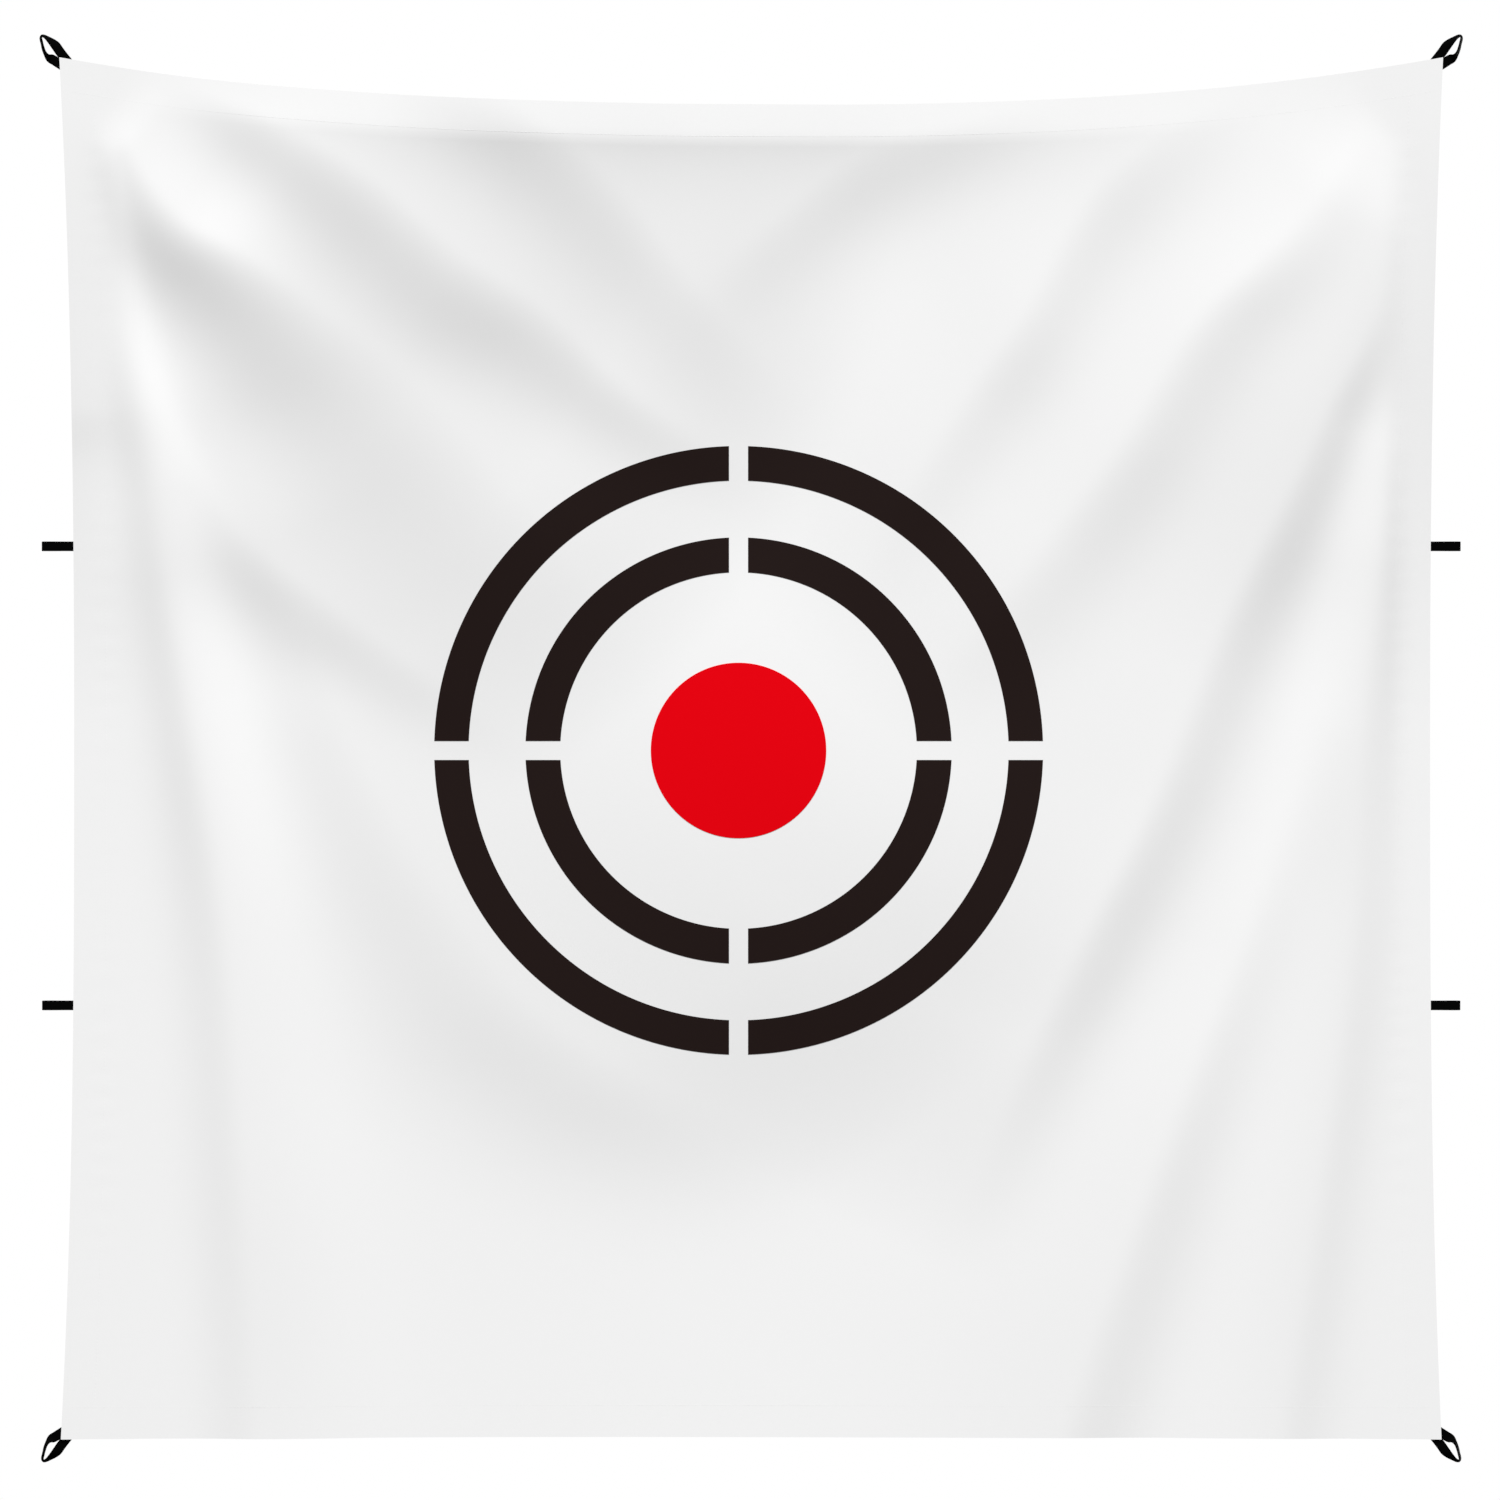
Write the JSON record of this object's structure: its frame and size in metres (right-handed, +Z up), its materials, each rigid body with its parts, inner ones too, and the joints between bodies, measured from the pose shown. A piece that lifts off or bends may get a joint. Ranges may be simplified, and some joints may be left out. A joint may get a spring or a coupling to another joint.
{
  "type": "hanging golf target cloth",
  "caption": "Square white golf target cloth with a printed ring-and-disc bullseye, hemmed edges and black webbing loops at its corners and sides, hung in soft folds by its top corners.",
  "frame": {"origin": "middle of the hung cloth with its loops; Y = 0 is the middle of the webbing at the two top corners", "axes": "+Z up as it hangs, -Y out of the printed front towards the golfer, +X to the golfer's right"},
  "size_m": [1.5392, 0.0692, 1.5462],
  "materials": {
    "white_cloth": "matte",
    "black_ink": "satin",
    "red_ink": "satin",
    "black_webbing": "matte",
    "white_thread": "matte",
    "black_thread": "matte"
  },
  "bodies": {
    "hanging_loops": {"loop_top_left": "black_webbing", "loop_top_right": "black_webbing"},
    "cloth": {"cloth_panel": "white_cloth", "hem_top": "white_cloth", "hem_bottom": "white_cloth", "hem_left": "white_cloth", "hem_right": "white_cloth", "seam_top": "white_thread", "seam_bottom": "white_thread", "seam_left": "white_thread", "seam_right": "white_thread", "print_outer_ring_upper_left": "black_ink", "print_outer_ring_upper_right": "black_ink", "print_outer_ring_lower_left": "black_ink", "print_outer_ring_lower_right": "black_ink", "print_inner_ring_upper_left": "black_ink", "print_inner_ring_upper_right": "black_ink", "print_inner_ring_lower_left": "black_ink", "print_inner_ring_lower_right": "black_ink", "print_centre_disc": "red_ink", "webbing_end_top_left": "black_webbing", "webbing_end_top_right": "black_webbing", "webbing_end_bottom_left": "black_webbing", "webbing_end_bottom_right": "black_webbing", "webbing_end_left_upper": "black_webbing", "webbing_end_left_lower": "black_webbing", "webbing_end_right_upper": "black_webbing", "webbing_end_right_lower": "black_webbing", "stitch_top_left": "black_thread", "stitch_top_right": "black_thread", "stitch_bottom_left": "black_thread", "stitch_bottom_right": "black_thread", "stitch_left_upper": "black_thread", "stitch_left_lower": "black_thread", "stitch_right_upper": "black_thread", "stitch_right_lower": "black_thread"},
    "bottom_left_loop": {"loop_bottom_left": "black_webbing"},
    "bottom_right_loop": {"loop_bottom_right": "black_webbing"},
    "left_upper_loop": {"loop_left_upper": "black_webbing"},
    "left_lower_loop": {"loop_left_lower": "black_webbing"},
    "right_upper_loop": {"loop_right_upper": "black_webbing"},
    "right_lower_loop": {"loop_right_lower": "black_webbing"}
  },
  "joints": [
    {"name": "cloth_swing", "type": "hinge", "parent": "hanging_loops", "child": "cloth", "pos_m": [0, 0, 0.7495], "axis": [1, 0, 0], "range_deg": [-60, 60]},
    {"name": "bottom_left_flex", "type": "hinge", "parent": "cloth", "child": "bottom_left_loop", "pos_m": [-0.74897, 0.01959, -0.7494], "axis": [0.7912, 0, -0.6115], "range_deg": [-90, 90], "stiffness_Nm_per_rad": 0.008},
    {"name": "bottom_right_flex", "type": "hinge", "parent": "cloth", "child": "bottom_right_loop", "pos_m": [0.74897, 0.01959, -0.7494], "axis": [-0.7912, 0, -0.6115], "range_deg": [-90, 90], "stiffness_Nm_per_rad": 0.008},
    {"name": "left_upper_flex", "type": "hinge", "parent": "cloth", "child": "left_upper_loop", "pos_m": [-0.73541, 0.01561, 0.2196], "axis": [0, 0, 1], "range_deg": [-90, 90], "stiffness_Nm_per_rad": 0.008},
    {"name": "left_lower_flex", "type": "hinge", "parent": "cloth", "child": "left_lower_loop", "pos_m": [-0.73586, 0.01959, -0.2775], "axis": [0, 0, 1], "range_deg": [-90, 90], "stiffness_Nm_per_rad": 0.008},
    {"name": "right_upper_flex", "type": "hinge", "parent": "cloth", "child": "right_upper_loop", "pos_m": [0.73734, 0.01561, 0.2196], "axis": [0, 0, 1], "range_deg": [-90, 90], "stiffness_Nm_per_rad": 0.008},
    {"name": "right_lower_flex", "type": "hinge", "parent": "cloth", "child": "right_lower_loop", "pos_m": [0.73774, 0.01959, -0.2775], "axis": [0, 0, 1], "range_deg": [-90, 90], "stiffness_Nm_per_rad": 0.008}
  ]
}
